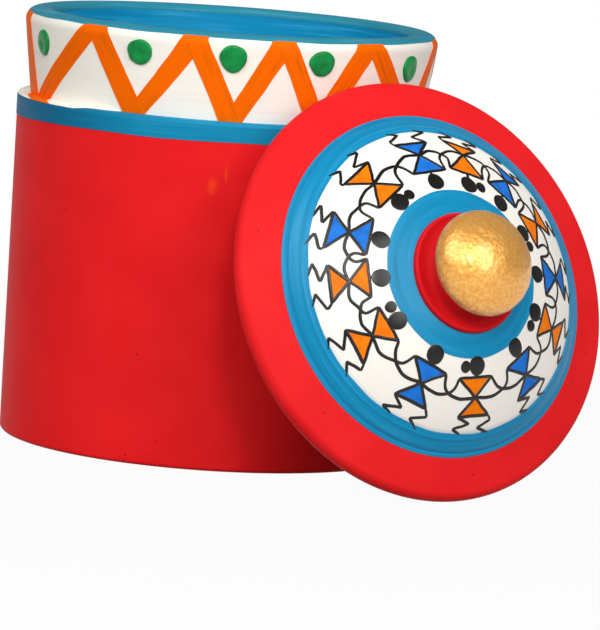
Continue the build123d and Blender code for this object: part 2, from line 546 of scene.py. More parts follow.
@dataclass(frozen=True)
class MattePaint(Finish):
    """Thick matte poster colour brushed on fired clay.

    It covers evenly, with soft cloudy patches, a fine dry grain and a few pin holes where
    air came out of the clay; the holes' darker colour is painted shade.
    """

    name: str
    seat: Seat
    colour: str
    deep: str
    pit_shade: str
    roughness: float = 0.55
    roughness_spread: float = 0.08
    specular: float = 0.1
    cloud_mm: float = 14.0
    grain_mm: float = 0.45
    relief_mm: float = 0.06
    pit_spacing_mm: float = 5.0
    pit_mm: float = 0.42
    pit_share: float = 0.35
    pit_depth: float = 1.5
    smears: tuple[Smear, ...] = ()
    smear_colour: str = "#FF5008"
    smear_cover: float = 0.55

    def surface(self, tree: Tree, place: Socket) -> Inputs:
        """Clouds the colour, then lays smears, pin holes darkened with painted shade, and grain over it.

        Args:
            tree: The material's node tree.
            place: Coordinates in millimetres.

        Returns:
            What goes into the surface shader.
        """
        clouds = add_node(tree, "TexNoise", {"Vector": place, "Scale": 1 / self.cloud_mm, "Detail": 3.0})
        patches = add_node(tree, "MapRange", {0: clouds, 1: 0.35, 2: 0.7})
        colours = {6: linear(self.colour), 7: linear(self.deep)}
        paint = add_node(tree, "Mix", {0: patches} | colours, data_type="RGBA")
        for smear in self.smears:
            paint = self.add_smear(tree, place, paint, smear)
        cells = add_node(tree, "TexVoronoi", {"Vector": place, "Scale": 1 / self.pit_spacing_mm})
        edge = self.pit_mm / 2 / self.pit_spacing_mm
        holes = add_node(tree, "MapRange", {0: cells, 1: edge * 0.5, 2: edge * 1.4, 3: 1.0, 4: 0.0})
        chance = add_node(tree, "SeparateColor", {0: cells.node.outputs["Color"]})
        chosen = add_node(tree, "Math", {0: chance, 1: self.pit_share}, operation="LESS_THAN")
        pits = add_node(tree, "Math", {0: holes, 1: chosen}, operation="MULTIPLY")
        # Darkens the pin holes with painted shade.
        pit_shaded = add_node(tree, "Mix", {0: pits, 6: paint, 7: linear(self.pit_shade)}, data_type="RGBA")
        grain = add_node(tree, "TexNoise", {"Vector": place, "Scale": 1 / self.grain_mm, "Detail": 2.0})
        relief = add_node(tree, "Math", {0: pits, 1: -self.pit_depth, 2: grain}, operation="MULTIPLY_ADD")
        bump = add_node(tree, "Bump", {"Height": relief, "Strength": 0.25, "Distance": self.relief_mm * MM})
        smooth, dry = self.roughness - self.roughness_spread, self.roughness + self.roughness_spread
        rough = add_node(tree, "MapRange", {0: grain, 3: smooth, 4: dry})
        return {
            "Base Color": pit_shaded, "Roughness": rough, "Specular IOR Level": self.specular, "Normal": bump
        }

    def add_smear(self, tree: Tree, place: Socket, paint: Socket, smear: Smear) -> Socket:
        """Adds a faint upright smear of another colour, left by a brush.

        Args:
            tree: The material's node tree.
            place: Coordinates in millimetres.
            paint: The colour under the smear.
            smear: Where it is and how large.

        Returns:
            The colour with the smear on it.
        """
        offset = add_node(tree, "VectorMath", {0: place, 1: Vector(smear.middle)}, operation="SUBTRACT")
        scale = (2 / smear.width, 2 / smear.width, 2 / smear.height)
        shaped = add_node(tree, "VectorMath", {0: offset, 1: scale}, operation="MULTIPLY")
        reach = add_node(tree, "VectorMath", {0: shaped}, operation="LENGTH")
        rags = add_node(tree, "TexNoise", {"Vector": place, "Scale": 0.8, "Detail": 3.0})
        ragged = add_node(tree, "Math", {0: rags, 1: 0.8, 2: reach}, operation="MULTIPLY_ADD")
        cover = add_node(tree, "MapRange", {0: ragged, 1: 0.7, 2: 1.5, 3: self.smear_cover, 4: 0.0})
        return add_node(tree, "Mix", {0: cover, 6: paint, 7: linear(self.smear_colour)}, data_type="RGBA")


@dataclass(frozen=True)
class BrushedPaint(Finish):
    """Acrylic laid on with a soft brush while the piece turned on the wheel.

    The bristles leave fine lines round the axis, a little darker and lighter, that also catch the light.
    The paint is also darker towards one side.
    """

    name: str
    seat: Seat
    colour: str
    dark: str
    light: str
    roughness: float
    roughness_spread: float = 0.07
    specular: float = 0.5
    line_mm: float = 0.5
    run_mm: float = 22.0
    patch_mm: float = 9.0
    contrast: float = 0.6
    relief_mm: float = 0.05
    darker_side: tuple[float, float, float] | None = None
    darker_mm: Pair = (20.0, 43.0)
    darker_cover: float = 0.85

    def surface(self, tree: Tree, place: Socket) -> Inputs:
        """Draws the bristle lines in colour, relief and gloss.

        Args:
            tree: The material's node tree.
            place: Coordinates in millimetres.

        Returns:
            What goes into the surface shader.
        """
        scale = (1 / self.run_mm, 1 / self.run_mm, 1 / self.line_mm)
        drawn_out = add_node(tree, "VectorMath", {0: place, 1: scale}, operation="MULTIPLY")
        lines = add_node(tree, "TexNoise", {"Vector": drawn_out, "Scale": 1.0, "Detail": 4.0})
        paint = linear(self.colour)
        for low, high, tint in ((0.5, 0.72, self.dark), (0.46, 0.28, self.light)):
            share = add_node(tree, "MapRange", {0: lines, 1: low, 2: high, 4: self.contrast})
            paint = add_node(tree, "Mix", {0: share, 6: paint, 7: linear(tint)}, data_type="RGBA")
        # Darkens the paint towards one side.
        if self.darker_side is not None:
            towards = add_node(tree, "VectorMath", {0: place, 1: self.darker_side}, operation="DOT_PRODUCT")
            start, end = self.darker_mm
            share = add_node(tree, "MapRange", {0: towards, 1: start, 2: end, 4: self.darker_cover})
            paint = add_node(tree, "Mix", {0: share, 6: paint, 7: linear(self.dark)}, data_type="RGBA")
        patches = add_node(tree, "TexNoise", {"Vector": place, "Scale": 1 / self.patch_mm, "Detail": 2.0})
        uneven = add_node(tree, "Math", {0: patches, 1: 0.8, 2: lines}, operation="MULTIPLY_ADD")
        bump = add_node(tree, "Bump", {"Height": uneven, "Strength": 0.35, "Distance": self.relief_mm * MM})
        smooth, dry = self.roughness - self.roughness_spread, self.roughness + self.roughness_spread
        rough = add_node(tree, "MapRange", {0: lines, 1: 0.3, 2: 0.7, 3: smooth, 4: dry})
        return {
            "Base Color": paint, "Roughness": rough, "Specular IOR Level": self.specular, "Normal": bump
        }


@dataclass(frozen=True)
class StrokePaint(Finish):
    """Colour pulled out in one brush stroke, so its bristle lines run along the stroke.

    Where the brush ran dry the colour underneath shows as browner streaks.
    """

    name: str
    seat: Seat
    colour: str
    streak: str
    lines: Pair
    roughness: float = 0.5
    specular: float = 0.04
    cover: float = 0.55
    drift: tuple[float, float, float] = (0.09, 0.09, 0.0)
    dry_mm: float = 7.0
    relief_mm: float = 0.05

    def surface(self, tree: Tree, place: Socket) -> Inputs:
        """Draws the bristle lines along the stroke's own map.

        Args:
            tree: The material's node tree.
            place: Coordinates in millimetres.

        Returns:
            What goes into the surface shader.
        """
        stroke = add_node(tree, "TexCoord", {}).node.outputs["UV"]
        along = add_node(tree, "VectorMath", {0: stroke, 1: (*self.lines, 1.0)}, operation="MULTIPLY")
        drift = add_node(tree, "VectorMath", {0: place, 1: self.drift, 2: along}, operation="MULTIPLY_ADD")
        bristles = add_node(tree, "TexNoise", {"Vector": drift, "Scale": 1.0, "Detail": 4.0})
        dry = add_node(tree, "TexNoise", {"Vector": place, "Scale": 1 / self.dry_mm, "Detail": 1.0})
        dry_places = add_node(tree, "MapRange", {0: dry, 1: 0.4, 2: 0.62, 3: 0.1})
        thin = add_node(tree, "MapRange", {0: bristles, 1: 0.5, 2: 0.66, 4: self.cover})
        streaks = add_node(tree, "Math", {0: thin, 1: dry_places}, operation="MULTIPLY")
        colours = {6: linear(self.colour), 7: linear(self.streak)}
        paint = add_node(tree, "Mix", {0: streaks} | colours, data_type="RGBA")
        ridges = {"Height": bristles, "Strength": 0.3, "Distance": self.relief_mm * MM}
        bump = add_node(tree, "Bump", ridges)
        return {
            "Base Color": paint,
            "Roughness": self.roughness,
            "Specular IOR Level": self.specular,
            "Normal": bump,
        }


@dataclass(frozen=True)
class DabbedPaint(Finish):
    """Colour dabbed or drawn on with a pen or a full brush, slightly cloudy where it pooled."""

    name: str
    seat: Seat
    colour: str
    pooled: str
    roughness: float
    specular: float
    pool_mm: float = 2.4
    relief_mm: float = 0.05

    def surface(self, tree: Tree, place: Socket) -> Inputs:
        """Clouds the colour and its surface where it pooled.

        Args:
            tree: The material's node tree.
            place: Coordinates in millimetres.

        Returns:
            What goes into the surface shader.
        """
        pools = add_node(tree, "TexNoise", {"Vector": place, "Scale": 1 / self.pool_mm, "Detail": 3.0})
        depth = add_node(tree, "MapRange", {0: pools, 1: 0.4, 2: 0.68})
        colours = {6: linear(self.colour), 7: linear(self.pooled)}
        paint = add_node(tree, "Mix", {0: depth} | colours, data_type="RGBA")
        bump = add_node(tree, "Bump", {"Height": pools, "Strength": 0.2, "Distance": self.relief_mm * MM})
        return {
            "Base Color": paint,
            "Roughness": self.roughness,
            "Specular IOR Level": self.specular,
            "Normal": bump,
        }


@dataclass(frozen=True)
class GoldLeaf(Finish):
    """Gilt rubbed on by hand: pale flakes of leaf that wrinkled over an orange ground.

    The wrinkles break the light into small bright flakes, with browner gold where the leaf thinned.
    """

    name: str
    seat: Seat
    leaf: str
    ground: str
    metal: float = 0.7
    ground_metal: float = 0.5
    roughness: Pair = (0.32, 0.46)
    lacquer: float = 0.7
    lacquer_ior: float = 1.6
    lacquer_roughness: float = 0.24
    swirl_mm: float = 3.0
    fold_mm: float = 0.8
    fleck_mm: float = 0.4
    flake_mm: float = 0.7
    relief_mm: float = 0.12

    def surface(self, tree: Tree, place: Socket) -> Inputs:
        """Wrinkles the leaf and thins it in flakes.

        Args:
            tree: The material's node tree.
            place: Coordinates in millimetres.

        Returns:
            What goes into the surface shader.
        """
        swirl = add_node(tree, "TexNoise", {"Vector": place, "Scale": 1 / self.swirl_mm, "Detail": 2.0})
        swirled = {0: 0.25, 4: place, 5: swirl.node.outputs["Color"]}
        drawn = add_node(tree, "Mix", swirled, data_type="VECTOR")
        wrinkled = {"Vector": drawn, "Scale": 1 / self.fold_mm}
        folds = add_node(tree, "TexVoronoi", wrinkled, feature="SMOOTH_F1")
        flecks = add_node(tree, "TexNoise", {"Vector": place, "Scale": 1 / self.fleck_mm, "Detail": 4.0})
        flakes = add_node(tree, "TexNoise", {"Vector": place, "Scale": 1 / self.flake_mm, "Detail": 5.0})
        bare = add_node(tree, "MapRange", {0: flakes, 1: 0.35, 2: 0.65})
        colours = {6: linear(self.leaf), 7: linear(self.ground)}
        gilt = add_node(tree, "Mix", {0: bare} | colours, data_type="RGBA")
        shine = add_node(tree, "MapRange", {0: bare, 3: self.metal, 4: self.ground_metal})
        relief = add_node(tree, "Math", {0: flecks, 1: 0.5, 2: folds}, operation="MULTIPLY_ADD")
        bump = add_node(tree, "Bump", {"Height": relief, "Strength": 1.0, "Distance": self.relief_mm * MM})
        smooth, dull = self.roughness
        rough = add_node(tree, "MapRange", {0: flecks, 1: 0.3, 2: 0.7, 3: smooth, 4: dull})
        return {
            "Base Color": gilt,
            "Metallic": shine,
            "Roughness": rough,
            "Normal": bump,
            "Coat Weight": self.lacquer,
            "Coat IOR": self.lacquer_ior,
            "Coat Roughness": self.lacquer_roughness,
        }


BOX_SEAT = Seat()
LID_SEAT = Seat((12.2, -74.65, 47.845), 68.1)


@dataclass
class Workshop:
    """Keeps the finishes and hands finished pieces over to the frame."""

    frame: dict[str, Any]
    finishes: dict[str, bpy.types.Material] = field(default_factory=dict)

    def finish(self, kind: Finish) -> bpy.types.Material:
        """Makes a finish once and keeps it by name.

        Args:
            kind: The finish to make.

        Returns:
            Its material.
        """
        if kind.name not in self.finishes:
            self.finishes[kind.name] = kind.make()
        return self.finishes[kind.name]

    def hand_over(self, piece: Piece, body: Body, slot: Slot, kind: Finish, *nodes: str) -> None:
        """Paints a piece and lets it ride on its body.

        Args:
            piece: The finished mesh.
            body: What it rides on.
            slot: The record's slot for the piece; not used.
            kind: The finish it wears.
            *nodes: The frame's nodes that it stands for.
        """
        piece.data.materials.clear()
        piece.data.materials.append(self.finish(kind))
        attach(piece, body.value)
        if nodes:
            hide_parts(*nodes)
        log.info("%s: %d faces in %s", piece.name, len(piece.data.polygons), kind.name)

    def dress(self, node: str, kind: Finish) -> None:
        """Gives a node that stays as it is a finish of its own.

        Args:
            node: The node's name in the frame.
            kind: The finish it wears.
        """
        part = self.frame["nodes"][node]
        part.data.materials.clear()
        part.data.materials.append(self.finish(kind))
        log.info("%s: kept from the frame, in %s", node, kind.name)


RED_BOX = MattePaint(
    "matte_red_poster_paint", BOX_SEAT, "#F01F22", "#E8191E", "#7C0C14",
    smears=(Smear((-28.1, -41.4, 66.4), 2.6, 4.4), Smear((-25.5, -43.0, 69.3), 0.9, 4.6)),
)
RED_LID = MattePaint(
    "matte_red_poster_paint_lid", LID_SEAT, "#EE2124", "#E61B20", "#7C0C14", pit_share=0.5
)
# A darker copy of the lid's red for the neck: painted shade under the knob and in the neck's hollow.
RED_NECK_SHADED = MattePaint(
    "matte_red_poster_paint_neck_painted_shade", LID_SEAT, "#DC171F", "#D4131B", "#7C0C14", pit_share=0.5
)
BLUE_BAND = BrushedPaint(
    "satin_blue_acrylic", BOX_SEAT, "#128BB4", "#075F84", "#2E9AC2", roughness=0.5, line_mm=0.7,
    specular=0.1, contrast=0.4, darker_side=(-0.87, 0.5, 0.0),
)
# The lip's blue is greyer and paler than the band's: painted sheen along the rounded lip.
BLUE_LIP_SHEEN = BrushedPaint(
    "satin_blue_acrylic_lip_painted_sheen", BOX_SEAT, "#2A8BA2", "#1E7A92", "#4EA2B8", roughness=0.5, line_mm=0.7,
    specular=0.1, contrast=0.5,
)
BLUE_INSIDE = BrushedPaint(
    "satin_blue_acrylic_inside", BOX_SEAT, "#0A94C4", "#087CA8", "#4DB4DC", roughness=0.36, line_mm=1.1,
    specular=0.25,
)
BLUE_LID = BrushedPaint(
    "satin_blue_acrylic_lid", LID_SEAT, "#0A8CBC", "#08769E", "#2E9ECB", roughness=0.36, line_mm=0.45,
    specular=0.2,
)
WHITE_BOX = BrushedPaint(
    "cream_emulsion", BOX_SEAT, "#FEF9EE", "#F1ECDF", "#FFFDF6", roughness=0.55, line_mm=0.55,
    contrast=0.35, specular=0.2,
)
WHITE_LID = BrushedPaint(
    "cream_emulsion_lid", LID_SEAT, "#FDF8EF", "#F4F0E6", "#FFFDF7", roughness=0.42, contrast=0.25,
    specular=0.2,
)
ORANGE = StrokePaint("orange_brush_stroke", BOX_SEAT, "#FF6C00", "#B85A06", lines=(7.0, 1.2), cover=0.6)
GREEN = DabbedPaint("thick_green_enamel", BOX_SEAT, "#0A9446", "#067A38", roughness=0.28, specular=0.2)
ROYAL_BLUE = DabbedPaint("royal_blue_marker", LID_SEAT, "#1E7ADF", "#1867C0", roughness=0.45, specular=0.12)
AMBER = DabbedPaint("amber_marker", LID_SEAT, "#FF8400", "#F47200", roughness=0.45, specular=0.12)
INK = DabbedPaint("black_marker_ink", LID_SEAT, "#0B0806", "#130F0A", roughness=0.28, specular=0.42)
GOLD = GoldLeaf("wrinkled_gold_leaf", LID_SEAT, "#FFC562", "#F09C32")
CLAY = MattePaint(
    "bare_fired_clay", BOX_SEAT, "#B5653F", "#A65935", "#6B3520", roughness=0.8, grain_mm=0.6, pit_share=0.7
)


@dataclass(frozen=True)
class Stroke:
    """One stroke of the zigzag: angles of its edges at the shoulder and the lip, in degrees.

    The bow is how far its middle bends to the right.
    """

    foot: Pair
    head: Pair
    bow: float = 0.0


@dataclass
class PaintedBox:
    """The box: red wall, white flared collar, blue bands, zigzag and drops."""

    shop: Workshop
    radius: float = 50.0
    foot_taper: float = 0.8
    bore: float = 42.6
    shoulder: float = 81.1
    shoulder_round: float = 1.0
    foot_round: float = 1.0
    floor: float = 7.0
    base_seat: float = 45.9
    collar_foot: float = 47.0
    rim: float = 49.4
    rim_height: float = 101.3
    rebate: float = 46.2
    spigot_foot: float = 75.1
    lip_outside: float = 2.6
    lip_inside: float = 1.6
    slip: float = 0.1
    band_foot: float = 76.6
    band_edges: HandEdges = HandEdges(first=0.4, seed=3.0, stray=-1.15, stray_deg=140.0)
    tongue: Pair = (95.0, 207.0)
    tongue_fade: float = 14.0
    tongue_ease: float = 0.7
    tongue_spread: float = 0.84
    tongue_coat: Coat = Coat(proud=0.16, keyed=0.2)
    lip_edge: float = 100.4
    lip_edges: HandEdges = HandEdges(first=0.3, waves=5.0, seed=9.0)
    strokes: tuple[Stroke, ...] = (
        Stroke((6, 12.5), (18, 25)),
        Stroke((30, 36.5), (18, 25)),
        Stroke((30.5, 37), (42.5, 49.5)),
        Stroke((54.5, 61), (42.5, 49.5)),
        Stroke((55, 61.5), (68, 75)),
        Stroke((80, 86.5), (68, 75)),
        Stroke((80.5, 87), (92, 99)),
        Stroke((104, 110.5), (92, 99)),
        Stroke((104.5, 111), (117, 124)),
        Stroke((129.5, 136), (117, 124)),
        Stroke((130, 136.5), (147, 156)),
        Stroke((156, 167.5), (151.5, 162.3)),
        Stroke((166.5, 176.3), (193.6, 201.2), bow=1.0),
        Stroke((207.7, 215), (194.8, 201.9)),
        Stroke((208.2, 214.6), (225.2, 232.4), bow=0.85),
        Stroke((236.3, 242.8), (225.2, 231.6)),
        Stroke((237, 242.7), (249.5, 256.4), bow=0.2),
        Stroke((261.7, 267.8), (250.3, 256)),
        Stroke((261.5, 267.8), (275.3, 283.2)),
        Stroke((294.5, 304), (277.5, 284.3)),
        Stroke((299, 306), (315.5, 323)),
        Stroke((341, 347.5), (316.5, 324)),
        Stroke((341.5, 348), (354, 361)),
        Stroke((365.5, 372.5), (354, 361)),
    )
    stroke_end: Stroke = Stroke((171.5, 182.5), (158, 176.3))
    stroke_proud: float = 0.1
    stroke_step: float = 0.05
    stroke_end_proud: float = 0.2
    stroke_keyed: float = 0.3
    stroke_over: float = 0.1
    stroke_rows: int = 36
    stroke_waver: float = 0.14
    drop_angles: tuple[float, ...] = (9, 33.5, 58, 83.5, 107.5, 133, 174.2, 213, 239.2, 264.1, 298, 344.5)
    drop_setbacks: tuple[float, ...] = (5.6, 6.2, 5.4, 5.9, 5.5, 6.3, 6.9, 5.7, 5.5, 5.5, 6.7, 5.8)
    drop_width: float = 6.0
    drop_height: float = 6.2
    drop_rise: float = 0.8
    drop_cut: float = 0.25
    drop_wide: Pair = (0.94, 1.05)
    drop_tall: Pair = (0.95, 1.05)
    drop_tail: Pair = (0.0, 0.22)
    drop_lift: Pair = (-0.1, 0.3)
    drop_dent: tuple[Pair, Pair] = ((0.0, 0.25), (-0.35, -0.2))
    drop_dent_size: float = 0.36
    drop_depth: Pair = (0.2, 0.6)
    drop_egg: Pair = (0.02, 0.16)
    drop_ragged: float = 0.05

    def build(self) -> None:
        """Builds and paints every piece of the box."""
        self.build_wall()
        self.build_collar()
        self.build_bands()
        self.build_zigzag()
        self.build_drops()
        self.shop.dress("base_disc", CLAY)

    @property
    def lip_start(self) -> float:
        """Height where the lip begins to round over."""
        return self.rim_height - self.lip_outside

    def collar_radius(self, height: float) -> float:
        """Gives the collar's outside radius at a height, lip included."""
        rise = (min(height, self.lip_start) - self.shoulder) / (self.rim_height - self.shoulder)
        flare = self.collar_foot + (self.rim - self.collar_foot) * rise
        over = max(0.0, height - self.lip_start)
        return flare - self.lip_outside + math.sqrt(self.lip_outside**2 - over**2)

    def wall_side(self) -> Outline:
        """Lists the wall's outside, from the foot round to the shoulder's ledge."""
        foot = self.radius - self.foot_taper
        lower = arc((foot - self.foot_round, self.foot_round), self.foot_round, -90, 0, 6)
        upper = self.shoulder_edge(0.0, 90.0)
        return lower + stretch(lower[-1], upper[0], 48)[1:-1] + upper

    def shoulder_edge(self, start_deg: float, end_deg: float) -> Outline:
        """Lists the shoulder's rounded edge between two angles."""
        middle = (self.radius - self.shoulder_round, self.shoulder - self.shoulder_round)
        return arc(middle, self.shoulder_round, start_deg, end_deg, 6)

    def ledge(self) -> Outline:
        """Lists the shoulder's edge and ledge, from the wall in to the collar's foot."""
        edge = self.shoulder_edge(0.0, 90.0)
        return edge + stretch(edge[-1], (self.collar_foot, self.shoulder), 3)[1:]

    def build_ledge(self) -> None:
        """Lays the tongue of white that runs out from the collar's foot over part of the ledge."""
        coat = self.tongue_coat
        track = Track(self.ledge())
        first, last = map(math.radians, self.tongue)
        fade = math.radians(self.tongue_fade)

        def place(along: float, across: float) -> Vector:
            """Finds a point of the tongue from its shares along and across."""
            turn = first + (last - first) * along
            ends = max(0.0, min(turn - first, last - turn))
            spread = self.tongue_spread * min(1.0, ends / fade) ** self.tongue_ease
            return around(turn, *track.point(track.length * (1.0 - spread * (1.0 - across)), coat.proud))

        tongue = coat.lay("white_ledge", place, (120, 12), BOX_SEAT)
        self.shop.hand_over(tongue, Body.BOX, Slot.WHITE, WHITE_BOX)

    def collar_side(self) -> Outline:
        """Lists the collar's outside and lip, from the shoulder over into the mouth."""
        lip_foot = (self.collar_radius(self.lip_start), self.lip_start)
        return stretch((self.collar_foot, self.shoulder), lip_foot, 24)[:-1] + self.lip_side(0.0)

    def lip_side(self, start_deg: float) -> Outline:
        """Lists the lip from an angle of its outer round over into the mouth."""
        outer = (self.collar_radius(self.lip_start) - self.lip_outside, self.lip_start)
        inner = (self.bore + self.lip_inside, self.rim_height - self.lip_inside)
        return arc(outer, self.lip_outside, start_deg, 90, 14) + arc(inner, self.lip_inside, 90, 180, 12)

    def build_wall(self) -> None:
        """Turns the wall with its seat for the base and its rebate for the collar."""
        outline = [(self.base_seat, 0.0)] + self.wall_side() + [
            (self.rebate, self.shoulder),
            (self.rebate, self.spigot_foot),
            (self.bore, self.spigot_foot),
            (self.bore, self.floor),
            (self.base_seat, self.floor),
            (self.base_seat, 0.0),
        ]
        wall = turn_on_wheel("red_wall", outline, BOX_SEAT)
        self.shop.hand_over(wall, Body.BOX, Slot.RED, RED_BOX, "body_wall")

    def build_collar(self) -> None:
        """Turns the collar with its spigot and rounded lip."""
        outline = [
            (self.bore, self.spigot_foot),
            (self.rebate - self.slip, self.spigot_foot),
            (self.rebate - self.slip, self.shoulder),
        ]
        outline += self.collar_side() + [(self.bore, self.spigot_foot)]
        collar = turn_on_wheel("white_collar", outline, BOX_SEAT)
        self.shop.hand_over(collar, Body.BOX, Slot.WHITE, WHITE_BOX, "rim_collar")

    def build_bands(self) -> None:
        """Lays the blue band, the white of the ledge and the blue of the lip and inside."""
        coat = Coat()
        foot_share = self.band_foot / self.shoulder
        start = (self.radius - self.foot_taper * (1 - foot_share), self.band_foot)
        ledge = self.ledge()
        band = Track(stretch(start, ledge[0], 6) + ledge[1:])
        shoulder = coat.ring("shoulder_band", band, self.band_edges, BOX_SEAT)
        self.shop.hand_over(shoulder, Body.BOX, Slot.BLUE, BLUE_BAND)
        self.build_ledge()
        lip = self.lip_side(math.degrees(math.asin((self.lip_edge - self.lip_start) / self.lip_outside)))
        round_edge = coat.ring("blue_lip", Track(lip), self.lip_edges, BOX_SEAT)
        # The lip wears the paler, greyer blue, which is painted sheen along its round.
        self.shop.hand_over(round_edge, Body.BOX, Slot.BLUE, BLUE_LIP_SHEEN)
        inside = stretch(lip[-1], (self.bore, self.floor), 30)
        ground = stretch((self.bore, self.floor), (0.0, self.floor), 16)[1:]
        mouth = coat.ring("mouth_coat", Track(inside + ground), HandEdges(), BOX_SEAT)
        self.shop.hand_over(mouth, Body.BOX, Slot.BLUE, BLUE_INSIDE)

    def build_zigzag(self) -> None:
        """Paints the zigzag stroke by stroke, up and down in turn."""
        hand = random.Random(HAND_SEED)
        rows = self.stroke_rows
        tall = self.lip_edge + self.stroke_over - self.shoulder
        heights = [self.shoulder + tall * row / rows for row in range(rows + 1)]
        collar = Track([(self.collar_radius(height), height) for height in heights])
        films = []
        for index, stroke in enumerate(self.strokes):
            proud = self.stroke_proud + self.stroke_step * (index % 2)
            films.append(self.paint_stroke(f"stroke_{index}", stroke, collar, proud, hand))
        ledge = Track(self.ledge()[2:])
        films.append(self.paint_stroke("stroke_end", self.stroke_end, ledge, self.stroke_end_proud, hand))
        zigzag = join_pieces("zigzag", films)
        self.shop.hand_over(zigzag, Body.BOX, Slot.ORANGE, ORANGE)

    def paint_stroke(
        self, name: str, stroke: Stroke, track: Track, proud: float, hand: random.Random
    ) -> Piece:
        """Paints one stroke of the zigzag.

        Args:
            name: The stroke's name.
            stroke: Where its edges run.
            track: The line up the surface that it is painted along.
            proud: How far it stands off; every second stroke is laid over the others.
            hand: Where the painter's small slips come from.

        Returns:
            The stroke as a film.
        """
        coat = Coat(proud=proud, keyed=self.stroke_keyed)
        shift = hand.uniform(0.0, 50.0)
        rows = len(track.points) - 1

        def place(along: float, across: float) -> Vector:
            """Finds a point of the stroke from its shares along and across."""
            left = stroke.foot[0] + (stroke.head[0] - stroke.foot[0]) * across
            right = stroke.foot[1] + (stroke.head[1] - stroke.foot[1]) * across
            bow = stroke.bow * 4.0 * across * (1.0 - across)
            radius, height = track.at(round(across * rows), 0.0, coat.proud)
            waver = noise.noise(Vector((shift, across * 6.0, 3.0 * round(along))))
            turn = math.radians(left + (right - left) * along + bow) + self.stroke_waver * waver / radius
            return around(turn, radius, height)

        return coat.lay(name, place, (12, rows), BOX_SEAT)

    def build_drops(self) -> None:
        """Shapes one bead of thick paint and sets a copy in each upper V of the zigzag."""
        bead = start_piece(
            "green_drops", bpy.ops.mesh.primitive_uv_sphere_add, segments=40, ring_count=24, radius=1.0
        )
        bpy.ops.object.mode_set(mode="EDIT")
        bpy.ops.mesh.select_all(action="SELECT")
        foot = (0.0, 0.0, -self.drop_cut)
        bpy.ops.mesh.bisect(plane_co=foot, plane_no=(0.0, 0.0, -1.0), use_fill=True, clear_outer=True)
        bpy.ops.object.mode_set(mode="OBJECT")
        hand = random.Random(HAND_SEED)
        flare = math.atan2(self.rim - self.collar_foot, self.rim_height - self.shoulder)
        drops = []
        for angle, setback in zip(self.drop_angles, self.drop_setbacks):
            height = self.rim_height - setback
            drop = bead.copy()
            drop.data = bead.data.copy()
            bpy.context.scene.collection.objects.link(drop)
            self.shape_drop(drop, hand)
            turn = Matrix.Rotation(math.radians(angle), 4, "Z")
            place = Matrix.Translation(Vector((self.collar_radius(height), 0.0, height)) * MM)
            face_out = Matrix.Rotation(math.radians(90), 4, "Z") @ Matrix.Rotation(math.radians(90), 4, "X")
            drop.data.transform(turn @ place @ Matrix.Rotation(flare, 4, "Y") @ face_out)
            drops.append(drop)
        bpy.data.objects.remove(bead)
        joined = set_down(join_pieces("green_drops", drops), BOX_SEAT, FILM_SMOOTH_DEG)
        self.shop.hand_over(joined, Body.BOX, Slot.GREEN, GREEN, "rim_drops")

    def shape_drop(self, drop: Piece, hand: random.Random) -> None:
        """Gives one bead its size, the little tail of the brush and a dent where it dried.

        Args:
            drop: A half ball of radius 1 about the origin, to be shaped.
            hand: Where the painter's small slips come from.
        """
        wide = self.drop_width / 2 * hand.uniform(*self.drop_wide)
        tall = self.drop_height / 2 * hand.uniform(*self.drop_tall)
        tail = hand.uniform(*self.drop_tail)
        lift = hand.uniform(*self.drop_lift)
        dent = Vector([hand.uniform(*limits) for limits in self.drop_dent])
        depth = hand.uniform(*self.drop_depth)
        egg = hand.uniform(*self.drop_egg)
        shift = hand.uniform(0.0, 40.0)
        for vertex in drop.data.vertices:
            x, y, z = vertex.co
            pull = tail * max(0.0, -x) ** 3 * max(0.0, 1.0 - 4.0 * (y - lift) ** 2)
            ragged = 1.0 + self.drop_ragged * noise.noise(Vector((x * 1.4 + shift, y * 1.4, 0.0)))
            away = (Vector((x, y)) - dent).length / self.drop_dent_size
            hollow = depth * math.exp(-(away**2)) if z > 0 else 0.0
            vertex.co = Vector((
                (x - pull) * ragged * wide * (1.0 + egg * y) * MM,
                y * ragged * tall * MM,
                (z**0.5 - hollow if z > 0 else z) * self.drop_rise * MM,
            ))


class Marker(Enum):
    """The two markers that the dancers are filled with."""

    BLUE = "blue"
    AMBER = "amber"


@dataclass(frozen=True)
class Dancer:
    """One dancer of the ring, by where its waist is on the lid and what it wears."""

    turn_deg: float
    radius: float
    marker: Marker
    bun: bool = False


